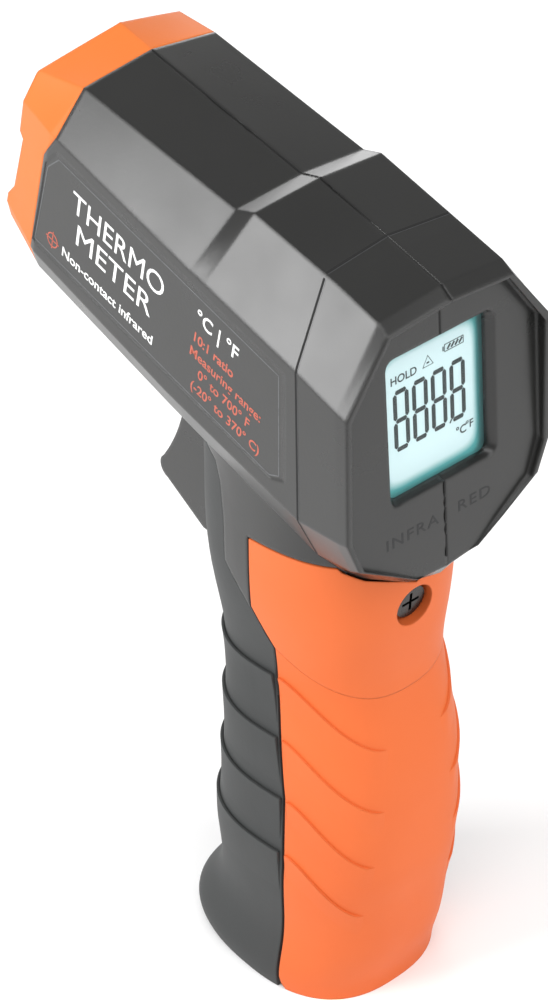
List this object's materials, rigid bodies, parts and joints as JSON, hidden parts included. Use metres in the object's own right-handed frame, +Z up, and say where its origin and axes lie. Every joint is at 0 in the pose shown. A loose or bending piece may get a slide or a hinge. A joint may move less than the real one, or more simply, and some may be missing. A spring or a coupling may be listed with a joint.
{
  "type": "infrared thermometer",
  "caption": "Pistol-shaped non-contact thermometer with orange nose bezel, tilted rear display, sprung trigger and hinged battery door in the handle.",
  "frame": {"origin": "centre of the handle's flat foot", "axes": "+Z up, +X towards the nose, +Y to the user's left; the barrel leans back 14 degrees"},
  "size_m": [0.0809, 0.038, 0.1449],
  "materials": {
    "housing_plastic": "fine satin texture",
    "grip_rubber": "soft matte",
    "orange_plastic": "satin",
    "orange_rubber": "soft matte",
    "bezel_plastic": "satin",
    "label_film": "printed film",
    "nose_plate": "matte",
    "lens_tube_plastic": "matte",
    "lens_polymer": "frosted",
    "display_glass": "clear",
    "lcd_face": "smooth",
    "backlight_guide": "edge lit",
    "circuit_board": "solder mask",
    "flat_cable": "film",
    "black_part": "matte",
    "bright_steel": "zinc plated",
    "spring_steel": "drawn wire",
    "brass_part": "turned",
    "battery_case": "printed jacket",
    "wire_cover": "smooth",
    "foam": "open cell"
  },
  "bodies": {
    "housing": {"left_housing": "housing_plastic", "right_housing": "housing_plastic", "nose_bezel": "bezel_plastic", "front_grip": "grip_rubber", "left_label": "label_film", "right_label": "label_film", "sensor_plate": "nose_plate", "lens_tube": "lens_tube_plastic", "infrared_lens": "lens_polymer", "sensor_can": "bright_steel", "sensor_board": "circuit_board", "sensor_cable": "flat_cable", "laser_module": "brass_part", "laser_window": "display_glass", "display_window": "display_glass", "lcd_panel": "lcd_face", "backlight": "backlight_guide", "main_board": "circuit_board", "buzzer": "black_part", "board_screws": "bright_steel", "housing_screws": "bright_steel", "trigger_pin": "bright_steel", "trigger_spring": "spring_steel", "trigger_switch": "black_part", "nine_volt_battery": "battery_case", "battery_snap": "black_part", "battery_foam": "foam", "battery_leads": "wire_cover", "door_hinge_pin": "bright_steel", "screw_insert": "brass_part"},
    "trigger": {"trigger": "housing_plastic"},
    "switch_plunger": {"switch_plunger": "black_part"},
    "battery_door": {"battery_door": "orange_plastic", "door_grip_skin": "orange_rubber"},
    "door_screw": {"door_screw": "bright_steel"}
  },
  "joints": [
    {"name": "trigger_pull", "type": "hinge", "parent": "housing", "child": "trigger", "pos_m": [0.02, 0, 0.108], "axis": [0, 1, 0], "range_deg": [0, 6], "stiffness_Nm_per_rad": 0.2, "springref_deg": -8.59, "deforming": ["trigger_spring"]},
    {"name": "switch_press", "type": "slide", "parent": "housing", "child": "switch_plunger", "axis": [0, 0, 1], "range_m": [0, 0.00152]},
    {"name": "door_swing", "type": "hinge", "parent": "housing", "child": "battery_door", "pos_m": [-0.0138, 0, 0.0026], "axis": [0, -1, 0], "range_deg": [0, 35]},
    {"name": "door_screw_turn", "type": "hinge", "parent": "battery_door", "child": "door_screw", "pos_m": [-0.0193, 0, 0.078], "axis": [0.9974, 0, 0.0728], "continuous": true}
  ],
  "couplings": [
    {"joint": "switch_press", "follows": "trigger_pull", "m_per_rad": 0.0143}
  ]
}
